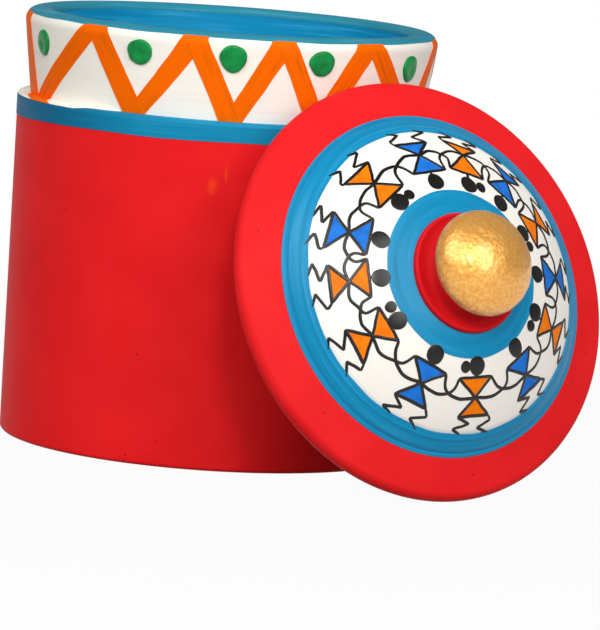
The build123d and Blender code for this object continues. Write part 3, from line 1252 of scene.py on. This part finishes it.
@dataclass
class PaintedLid:
    """The lid: red flange, white dome with blue rings and dancers, red neck and gilt knob."""

    shop: Workshop
    edge_radius: float = 47.0
    edge_drop: float = 4.924
    edge_round: float = 2.4
    slope_deg: float = 19.3
    dome_foot: float = 40.2
    dome_sphere: float = 60.0
    dome_centre: float = -44.542
    inner_sphere: float = 54.0
    bore: float = 30.53
    tenon: float = 5.0
    slip: float = 0.1
    ring_outer: float = 35.6
    ring_recess: float = 0.7
    ring_step: float = 0.2
    ring_coat: Coat = Coat(proud=0.1, keyed=0.5)
    outer_edges: HandEdges = HandEdges(second=0.4, waves=4.0, seed=5.0)
    groove: float = 39.3
    groove_depth: float = 0.42
    groove_width: float = 0.32
    ridge: float = 36.75
    ridge_rise: float = 0.16
    ridge_width: float = 0.3
    ring_inner: float = 19.9
    ring_tuck: float = 1.2
    inner_edges: HandEdges = HandEdges(first=0.2, seed=2.0, stray=0.5, stray_deg=105.0, stray_reach=2.0)
    neck_foot: float = 14.0
    neck_top: float = 8.6
    neck_edge: float = 0.7
    neck_rim: float = 0.6
    neck_turn_deg: float = 120.0
    neck_slip: float = 0.5
    peg: float = 4.0
    peg_height: float = 5.0
    knob_radius: float = 12.2
    knob_round: float = 3.4
    knob_brow: float = 5.0
    knob_rise: float = 7.8
    knob_line: float = 21.358
    knob_hollows: tuple[Pair, ...] = ((0.16, 2.2), (0.06, 0.8))

    @property
    def under(self) -> float:
        """Height of the flange's flat underside."""
        return -self.edge_drop - self.edge_round

    @property
    def knob_seat(self) -> float:
        """Height where the knob sits on its neck."""
        return self.knob_line - self.knob_round

    def dome(self, radius: float, sphere: float | None = None) -> float:
        """Gives the dome's height at a distance from the lid's axis.

        Args:
            radius: The distance.
            sphere: Radius of the sphere, the dome's own if left out.

        Returns:
            The height over the dome's foot.
        """
        return self.dome_centre + math.sqrt((sphere or self.dome_sphere) ** 2 - radius**2)

    def dome_line(self, start: float, end: float, steps: int, sphere: float | None = None) -> Outline:
        """Lists points on the dome from one distance from the axis to another."""
        across = stretch((start, 0.0), (end, 0.0), steps)
        return [(radius, self.dome(radius, sphere)) for radius, _ in across]

    def build(self) -> None:
        """Builds and paints every piece of the lid."""
        self.build_flange()
        self.build_dome()
        self.build_rings()
        self.build_neck()
        self.build_knob()
        DancerRing(self).build()
        self.shop.dress("locating_ring", RED_LID)

    def build_flange(self) -> None:
        """Turns the sloping flange with its half-round edge."""
        edge = arc((self.edge_radius, -self.edge_drop), self.edge_round, -90, 90 - self.slope_deg, 20)
        outline = [(self.bore, self.under)] + edge + stretch(edge[-1], (self.dome_foot, 0.0), 10)[1:]
        outline += [(self.bore, 0.0), (self.bore, self.under)]
        flange = turn_on_wheel("red_flange", outline, LID_SEAT)
        self.shop.hand_over(flange, Body.LID, Slot.RED, RED_LID, "lid_flange")

    def build_dome(self) -> None:
        """Turns the dome, a little lower where the outer ring of paint lies, and lines it."""
        hole = self.tenon + self.slip
        low = self.dome_sphere - self.ring_recess
        low_foot = math.sqrt(low**2 - self.dome_centre**2)
        outline = self.dome_line(low_foot, self.ring_outer + self.ring_step, 6, low)
        outline += self.dome_line(self.ring_outer - self.ring_step, hole, 40)
        outline += self.dome_line(hole, self.bore, 30, self.inner_sphere) + outline[:1]
        dome = turn_on_wheel("white_dome", outline, LID_SEAT)
        self.shop.hand_over(dome, Body.LID, Slot.WHITE, WHITE_LID, "lid_dome")
        tenon_end = self.dome(hole, self.inner_sphere)
        hollow = [(r, min(h, tenon_end)) for r, h in self.dome_line(self.bore, 0.0, 40, self.inner_sphere)]
        lining = Coat().ring("lid_lining", Track([(self.bore, self.under)] + hollow), HandEdges(), LID_SEAT)
        self.shop.hand_over(lining, Body.LID, Slot.BLUE, BLUE_LID)

    def build_rings(self) -> None:
        """Lays the two blue rings, the outer one with its turned groove and ridge."""
        outer = []
        for radius, height in self.dome_line(self.dome_foot, self.ring_outer, 60):
            cut = self.groove_depth * math.exp(-(((radius - self.groove) / self.groove_width) ** 2))
            bead = self.ridge_rise * math.exp(-(((radius - self.ridge) / self.ridge_width) ** 2))
            outer.append((radius, height - cut + bead))
        wide = self.ring_coat.ring("outer_blue_ring", Track(outer), self.outer_edges, LID_SEAT)
        self.shop.hand_over(wide, Body.LID, Slot.BLUE, BLUE_LID)
        inner = Track(self.dome_line(self.ring_inner, self.neck_foot - self.ring_tuck, 24))
        narrow = Coat().ring("inner_blue_ring", inner, self.inner_edges, LID_SEAT)
        self.shop.hand_over(narrow, Body.LID, Slot.BLUE, BLUE_LID)

    def build_neck(self) -> None:
        """Turns the neck with its tenon, rolled rim, hollow flare and peg."""
        tenon_end = self.dome(self.tenon + self.slip, self.inner_sphere)
        shelf = self.dome_sphere + self.slip
        foot = self.dome_line(self.tenon, self.neck_foot, 10, shelf)
        edge = (self.neck_foot - self.neck_rim, foot[-1][1] + self.neck_edge)
        rim = arc(edge, self.neck_rim, 0, self.neck_turn_deg, 12)
        outline = [(0.0, tenon_end), (self.tenon, tenon_end)] + foot + rim
        outline += self.cove(Vector(rim[-1]), Vector((self.neck_top, self.knob_seat)))[1:]
        outline += [
            (self.peg, self.knob_seat),
            (self.peg, self.knob_seat + self.peg_height),
            (0.0, self.knob_seat + self.peg_height),
        ]
        neck = turn_on_wheel("red_neck", outline, LID_SEAT, 128)
        self.slip_rim(neck)
        # The neck wears the darker red, which is painted shade under the knob.
        self.shop.hand_over(neck, Body.LID, Slot.RED, RED_NECK_SHADED, "knob_neck")

    def slip_rim(self, neck: Piece) -> None:
        """Lets the neck's rim sit a little off the lid's axis, as the hand-made one does."""
        seat = LID_SEAT.matrix()
        for vertex in neck.data.vertices:
            place = seat.inverted() @ vertex.co
            share = (math.hypot(place.x, place.y) / MM - self.neck_top) / (self.neck_foot - self.neck_top)
            place.y -= self.neck_slip * max(0.0, share) * MM
            vertex.co = seat @ place

    def cove(self, start: Vector, end: Vector) -> Outline:
        """Lists the neck's hollow, an arc that carries on smoothly from its rolled rim.

        Args:
            start: Where the rim ends.
            end: Where the knob sits.

        Returns:
            The points, first and last included.
        """
        turn = math.radians(self.neck_turn_deg)
        outwards = Vector((math.cos(turn), math.sin(turn)))
        span = end - start
        radius = span.length_squared / (2 * span.dot(outwards))
        centre = start + outwards * radius
        end_deg = math.degrees(math.atan2(end.y - centre.y, end.x - centre.x)) % 360
        return arc((centre.x, centre.y), radius, self.neck_turn_deg + 180, end_deg, 24)

    def build_knob(self) -> None:
        """Turns the knob and wrinkles its gilt."""
        side = self.knob_radius - self.knob_round
        brow = self.knob_radius - self.knob_brow
        rise = self.knob_rise
        crown = (brow**2 + rise**2 - self.knob_brow**2) / (2 * (rise - self.knob_brow))
        meet_deg = math.degrees(math.atan2(crown - rise, brow))
        socket_top = self.knob_seat + self.peg_height + self.slip
        outline = [
            (0.0, socket_top),
            (self.peg + self.slip, socket_top),
            (self.peg + self.slip, self.knob_seat),
        ]
        outline += arc((side, self.knob_line), self.knob_round, -90, 0, 20)
        outline += arc((brow, self.knob_line), self.knob_brow, 0, meet_deg, 20)[1:]
        outline += arc((0.0, self.knob_line + rise - crown), crown, meet_deg, 90, 40)[1:]
        knob = turn_on_wheel("gilt_knob", outline, LID_SEAT)
        for depth, size in self.knob_hollows:
            unevenness(knob, depth, size)
        self.shop.hand_over(knob, Body.LID, Slot.GOLD, GOLD, "knob_ball")


@dataclass
class DancerRing:
    """Thirteen dancers, arm in arm, drawn on the dome with a marker.

    Each one is two triangles that meet at the waist, a round head near the inner ring and two
    bent legs that reach the outer ring. Places are given from the waist: aside, clockwise, and
    outwards.
    """

    lid: PaintedLid
    waist: float = 28.5
    feet: float = 35.4
    stretch_up: float = 0.09
    head_out: float = -7.0
    head_radius: float = 2.1
    head_swell: float = 0.28
    head_lift: float = 0.25
    head_ragged: float = 0.12
    bun_at: Pair = (3.2, -7.1)
    bun_radius: float = 1.3
    shoulders: tuple[Pair, ...] = ((-4.3, -4.5), (4.5, -4.6))
    hips: tuple[Pair, ...] = ((-4.4, 3.8), (4.4, 3.6))
    legs: tuple[tuple[Pair, ...], ...] = (
        ((-5.4, 4.7), (-1.7, 6.2), (-4.9, 7.3)),
        ((1.0, 5.2), (5.2, 6.2), (2.5, 7.4)),
    )
    arm: tuple[Pair, ...] = ((0.26, 0.5), (0.465, -0.2), (0.59, -1.45))
    outline_width: float = 0.7
    arm_width: float = 0.7
    leg_width: float = 0.62
    width_limits: Pair = (0.92, 1.08)
    slip: Pair = (0.3, 0.3)
    arm_slip: Pair = (0.015, 0.2)
    point_spacing: float = 0.6
    tremble: float = 0.12
    pen_end: float = 0.8
    pen_flatness: float = 0.3
    proud: float = 0.05
    fill_thickness: float = 0.2
    dancers: tuple[Dancer, ...] = (
        Dancer(-7.6, 29.1, Marker.BLUE),
        Dancer(16.6, 30.4, Marker.AMBER, bun=True),
        Dancer(40.4, 30.3, Marker.BLUE),
        Dancer(63.7, 29.0, Marker.AMBER, bun=True),
        Dancer(90.5, 29.5, Marker.BLUE),
        Dancer(115.7, 28.7, Marker.AMBER, bun=True),
        Dancer(144.1, 28.5, Marker.BLUE),
        Dancer(176.5, 28.2, Marker.AMBER, bun=True),
        Dancer(207.2, 27.7, Marker.BLUE),
        Dancer(240.4, 27.6, Marker.AMBER, bun=True),
        Dancer(268.2, 28.1, Marker.AMBER),
        Dancer(291.6, 28.3, Marker.BLUE),
        Dancer(320.9, 28.1, Marker.AMBER, bun=True),
    )
    hand: random.Random = field(default_factory=lambda: random.Random(HAND_SEED))
    strokes: list[tuple[list[Vector], float]] = field(default_factory=list)
    spots: list[tuple[Vector, float]] = field(default_factory=list)

    def build(self) -> None:
        """Draws every dancer, then hands the fills and the ink over."""
        fills: dict[Marker, list[Piece]] = {Marker.BLUE: [], Marker.AMBER: []}
        bodies = [self.draw_body(dancer, fills) for dancer in self.dancers]
        for index, (dancer, body) in enumerate(zip(self.dancers, bodies)):
            after = (index + 1) % len(bodies)
            self.draw_arms(dancer, body, self.dancers[after], bodies[after])
        shop = self.lid.shop
        for marker, slot, kind in (
            (Marker.BLUE, Slot.ROYAL_BLUE, ROYAL_BLUE),
            (Marker.AMBER, Slot.AMBER, AMBER),
        ):
            fill = join_pieces(f"{marker.value}_dancers", fills[marker])
            shop.hand_over(set_down(fill, LID_SEAT, FILM_SMOOTH_DEG), Body.LID, slot, kind)
        shop.hand_over(self.ink(), Body.LID, Slot.INK, INK)

    def spot(self, dancer: Dancer, aside: float, out: float) -> Vector:
        """Finds a place of a dancer on the lid's plan.

        One whose waist is farther out is longer above it and shorter below, to fit between
        the rings.

        Args:
            dancer: Whose place it is.
            aside: Clockwise from the waist.
            out: Outwards from the waist.

        Returns:
            The place across and up the lid, in millimetres.
        """
        turn = math.radians(dancer.turn_deg)
        outwards = Vector((math.sin(turn), math.cos(turn)))
        clockwise = Vector((math.cos(turn), -math.sin(turn)))
        if out < 0:
            out *= 1.0 + self.stretch_up * (dancer.radius - self.waist)
        else:
            out *= (self.feet - dancer.radius) / (self.feet - self.waist)
        return outwards * (dancer.radius + out) + clockwise * aside

    def near(self, place: Pair, slip: Pair | None = None) -> Pair:
        """Moves a place by a small slip of the hand.

        Args:
            place: The place, as it is meant.
            slip: The largest slip each way, a body's own if left out.

        Returns:
            The place as drawn.
        """
        across, out = slip or self.slip
        return (
            place[0] + self.hand.uniform(-across, across),
            place[1] + self.hand.uniform(-out, out),
        )

    def draw_body(self, dancer: Dancer, fills: dict[Marker, list[Piece]]) -> dict[str, list[Vector]]:
        """Draws a dancer's triangles, head and legs.

        Args:
            dancer: Which dancer.
            fills: Where its filled triangles are added.

        Returns:
            The places of its shoulders and its waist.
        """
        waist = self.spot(dancer, 0.0, 0.0)
        shoulders = [self.spot(dancer, *self.near(place)) for place in self.shoulders]
        hips = [self.spot(dancer, *self.near(place)) for place in self.hips]
        for corners in (shoulders, hips):
            fills[dancer.marker].append(self.fill(corners + [waist]))
            loop = [waist, corners[0], corners[1], waist]
            for start, end in zip(loop, loop[1:]):
                self.line([start, end], self.outline_width)
        head = self.spot(dancer, *self.near((0.0, self.head_out)))
        self.spots.append((head, self.head_radius))
        middle = (shoulders[0] + shoulders[1]) / 2
        self.line([head, middle], self.arm_width)
        if dancer.bun:
            self.spots.append((self.spot(dancer, *self.near(self.bun_at)), self.bun_radius))
        for hip, leg in zip(hips, self.legs):
            joints = [self.spot(dancer, *self.near(place)) for place in leg]
            for start, end in zip([hip] + joints, joints):
                self.line([start, end], self.leg_width)
        return {"shoulders": shoulders, "waist": [waist]}

    def draw_arms(
        self,
        dancer: Dancer,
        body: dict[str, list[Vector]],
        neighbour: Dancer,
        other: dict[str, list[Vector]],
    ) -> None:
        """Draws the two arms that cross between a dancer and the next one clockwise.

        Args:
            dancer: The first dancer.
            body: Its shoulders and waist.
            neighbour: The next dancer.
            other: That one's shoulders and waist.
        """
        gap = (neighbour.turn_deg - dancer.turn_deg) % 360.0

        def between(share: float, out: float) -> Vector:
            """Finds a place between the two waists."""
            radius = dancer.radius + (neighbour.radius - dancer.radius) * share
            return self.spot(Dancer(dancer.turn_deg + gap * share, radius, dancer.marker), 0.0, out)

        reach = [between(*self.near(place, self.arm_slip)) for place in self.arm]
        back = [self.near(place, self.arm_slip) for place in reversed(self.arm)]
        reach_back = [between(1 - share, out) for share, out in back]
        self.line([body["waist"][0]] + reach + [other["shoulders"][0]], self.arm_width)
        self.line([body["shoulders"][1]] + reach_back + [other["waist"][0]], self.arm_width)

    def line(self, guides: list[Vector], width: float) -> None:
        """Notes one marker stroke along a smooth line through its guides, with a little tremble.

        Args:
            guides: The places that the stroke passes, ends included.
            width: The stroke's width.
        """
        shift = self.hand.uniform(0.0, 90.0)
        ends = [guides[0] * 2 - guides[1]] + guides + [guides[-1] * 2 - guides[-2]]
        points = [guides[0]]
        for before, start, end, after in zip(ends, ends[1:], ends[2:], ends[3:]):
            count = max(2, round((end - start).length / self.point_spacing))
            for step in range(1, count + 1):
                share = step / count
                bend = (end - before) * share + (before * 2 - start * 5 + end * 4 - after) * share**2
                bend += (start * 3 - end * 3 + after - before) * share**3
                points.append(start + bend * 0.5)
        trembled = []
        for index, point in enumerate(points):
            shake = [noise.noise((shift, index * 0.3, level)) for level in (0.0, 9.0)]
            trembled.append(point + Vector(shake) * self.tremble)
        self.strokes.append((trembled, width * self.hand.uniform(*self.width_limits)))

    def drape(self, mesh: bpy.types.Mesh) -> None:
        """Lets flat paint, made in millimetres on the lid's plan, lie on the dome.

        Args:
            mesh: The paint's mesh, with its own small heights.
        """
        for vertex in mesh.vertices:
            across, up, height = vertex.co
            lie = height + self.proud + self.lid.dome(math.hypot(across, up))
            vertex.co = Vector((across, up, lie)) * MM

    def fill(self, corners: list[Vector]) -> Piece:
        """Fills a triangle with marker.

        Args:
            corners: Its three corners.

        Returns:
            The fill as a thin film on the dome.
        """
        film = start_piece("marker_fill", bpy.ops.mesh.primitive_circle_add, vertices=3, fill_type="NGON")
        for vertex, corner in zip(film.data.vertices, corners):
            vertex.co = Vector((corner.x, corner.y, 0.0))
        bpy.ops.object.mode_set(mode="EDIT")
        bpy.ops.mesh.select_all(action="SELECT")
        bpy.ops.mesh.quads_convert_to_tris()
        bpy.ops.mesh.subdivide(number_cuts=8)
        bpy.ops.mesh.normals_make_consistent(inside=False)
        bpy.ops.object.mode_set(mode="OBJECT")
        if film.data.polygons[0].normal.z < 0:
            film.data.flip_normals()
        self.drape(film.data)
        apply_modifier(film, "SOLIDIFY", thickness=self.fill_thickness * MM, offset=-1.0)
        return film

    def ink(self) -> Piece:
        """Makes all the black strokes and heads.

        Returns:
            The ink as one piece on the dome.
        """
        pieces = [self.lines()] + [self.head(place, radius) for place, radius in self.spots]
        drawing = join_pieces("dancer_ink", pieces)
        for vertex in drawing.data.vertices:
            vertex.co.z *= self.pen_flatness
        self.drape(drawing.data)
        return set_down(drawing, LID_SEAT, FILM_SMOOTH_DEG)

    def lines(self) -> Piece:
        """Draws the noted strokes with a round pen, flat on the lid's plan.

        Returns:
            All the strokes as one mesh.
        """
        curve = bpy.data.curves.new("ink_lines", "CURVE")
        curve.dimensions = "3D"
        curve.bevel_depth = 0.5
        curve.bevel_resolution = 3
        curve.use_fill_caps = True
        for points, width in self.strokes:
            spline = curve.splines.new("POLY")
            last = len(points) - 1
            spline.points.add(last)
            for index, (slot, point) in enumerate(zip(spline.points, points)):
                slot.co = (point.x, point.y, 0.0, 1.0)
                slot.radius = width * (self.pen_end if index in (0, last) else 1.0)
        pen = bpy.data.objects.new("ink_lines", curve)
        bpy.context.scene.collection.objects.link(pen)
        bpy.ops.object.select_all(action="DESELECT")
        pen.select_set(True)
        bpy.context.view_layer.objects.active = pen
        bpy.ops.object.convert(target="MESH")
        return bpy.context.object

    def head(self, place: Vector, radius: float) -> Piece:
        """Dabs one head or bun, a little ragged, so that it lies over the ring's edge.

        Args:
            place: Its middle on the lid's plan.
            radius: Its radius.

        Returns:
            The dab.
        """
        dab = start_piece(
            "head", bpy.ops.mesh.primitive_uv_sphere_add, segments=36, ring_count=14, radius=radius
        )
        shift = self.hand.uniform(0.0, 60.0)
        for vertex in dab.data.vertices:
            x, y, z = vertex.co
            grown = 1.0 + self.head_ragged * noise.noise(Vector((x * 0.4 + shift, y * 0.4, 0.0)))
            lift = self.head_lift if z > -0.01 else 0.0
            height = z / radius * self.head_swell + lift
            vertex.co = Vector((place.x + x * grown, place.y + y * grown, height))
        return dab


@dataclass(frozen=True)
class Lamp:
    """A soft lamp: its place, width and height in metres and its power in watts."""

    name: str
    place: tuple[float, float, float]
    size: Pair
    power: float

    def hang(self, target: tuple[float, float, float]) -> None:
        """Adds the lamp so that it faces the object.

        Args:
            target: What it faces, in metres.
        """
        data = bpy.data.lights.new(self.name, "AREA")
        data.shape = "RECTANGLE"
        data.size, data.size_y = self.size
        data.energy = self.power
        light = bpy.data.objects.new(self.name, data)
        bpy.context.scene.collection.objects.link(light)
        light.location = self.place
        light.rotation_mode = "QUATERNION"
        light.rotation_quaternion = (Vector(target) - Vector(self.place)).to_track_quat("-Z", "Y")


@dataclass(frozen=True)
class Portrait:
    """The camera, the floor and the lamps.

    A window hangs to the right of the camera and lamps to its left and over it, in a pale room.
    """

    camera_place: tuple[float, float, float] = (-627.21, -1013.94, 185.39)
    heading_deg: float = 32.754
    dip_deg: float = 7.347
    roll_deg: float = 4.160
    focal_pixels: float = 5000.0
    image_height: float = 630.0
    sensor: float = 36.0
    far_end: float = 20.0
    floor_size: float = 40.0
    paper: str = "#969696"
    shadow_reach: Pair = (0.12, 0.4)
    shadow_white: float = 0.96
    lamps: tuple[Lamp, ...] = (
        Lamp("front_window", (0.118, -1.16, 0.7), (0.5, 0.9), 6.7),
        Lamp("side_lamp", (-0.936, -0.381, 0.886), (0.9, 0.9), 8.1),
        Lamp("camera_lamp", (-0.488, -1.034, 0.74), (0.22, 0.36), 4.6),
    )
    lamp_target: tuple[float, float, float] = (0.0, -0.04, 0.05)
    room_strength: float = 0.285

    def build(self) -> None:
        """Sets up the view, the floor and the light."""
        self.build_camera()
        self.build_floor()
        self.build_light()

    def build_camera(self) -> None:
        """Adds the camera where the photographer stood."""
        data = bpy.data.cameras.new("portrait_camera")
        data.sensor_width = self.sensor
        data.lens = self.focal_pixels / self.image_height * self.sensor
        data.clip_end = self.far_end
        camera = bpy.data.objects.new("portrait_camera", data)
        bpy.context.scene.collection.objects.link(camera)
        turn = Matrix.Rotation(-math.radians(self.heading_deg), 4, "Z")
        dip = Matrix.Rotation(math.radians(90.0 - self.dip_deg), 4, "X")
        roll = Matrix.Rotation(math.radians(self.roll_deg), 4, "Z")
        camera.matrix_world = Matrix.Translation(Vector(self.camera_place) * MM) @ turn @ dip @ roll
        bpy.context.scene.camera = camera

    def build_floor(self) -> None:
        """Lays a white floor that runs out of the picture and keeps a soft shadow."""
        floor = start_piece("floor", bpy.ops.mesh.primitive_plane_add, size=self.floor_size)
        material = bpy.data.materials.new("white_paper")
        material.use_nodes = True
        tree = material.node_tree
        tree.nodes.clear()
        paper = add_node(tree, "BsdfDiffuse", {"Color": linear(self.paper)})
        white = add_node(tree, "Emission", {"Color": linear("#FFFFFF"), "Strength": 1.0})
        place = add_node(tree, "TexCoord", {}).node.outputs["Object"]
        away = add_node(tree, "VectorMath", {0: place}, operation="LENGTH")
        near, far = self.shadow_reach
        bright = add_node(tree, "MapRange", {0: away, 1: near, 2: far, 3: self.shadow_white})
        share = add_node(tree, "Math", {0: self.seen(tree), 1: bright}, operation="MULTIPLY")
        mixed = add_node(tree, "MixShader", {0: share, 1: paper, 2: white})
        add_node(tree, "OutputMaterial", {"Surface": mixed})
        floor.data.materials.append(material)

    def seen(self, tree: Tree) -> Socket:
        """Tells the camera, and what mirrors it, from other rays.

        Args:
            tree: The node tree to add to.

        Returns:
            A socket that is 1 for camera, glossy and transmission rays.
        """
        rays = add_node(tree, "LightPath", {}).node.outputs
        seen = rays["Is Camera Ray"]
        for kind in ("Is Glossy Ray", "Is Transmission Ray"):
            seen = add_node(tree, "Math", {0: seen, 1: rays[kind]}, operation="MAXIMUM")
        return seen

    def build_light(self) -> None:
        """Hangs the lamps and lights the room."""
        for lamp in self.lamps:
            lamp.hang(self.lamp_target)
        world = bpy.data.worlds.new("white_room")
        bpy.context.scene.world = world
        world.use_nodes = True
        room = {"Color": linear("#FFFFFF"), "Strength": self.room_strength}
        connect(world.node_tree, world.node_tree.nodes["Background"], room)
        bpy.context.scene.view_settings.view_transform = "Standard"


def main() -> None:
    """Builds the box, the lid and the portrait."""
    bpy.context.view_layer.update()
    shop = Workshop(frame)
    PaintedBox(shop).build()
    PaintedLid(shop).build()
    Portrait().build()


if __name__ == "__main__":
    main()
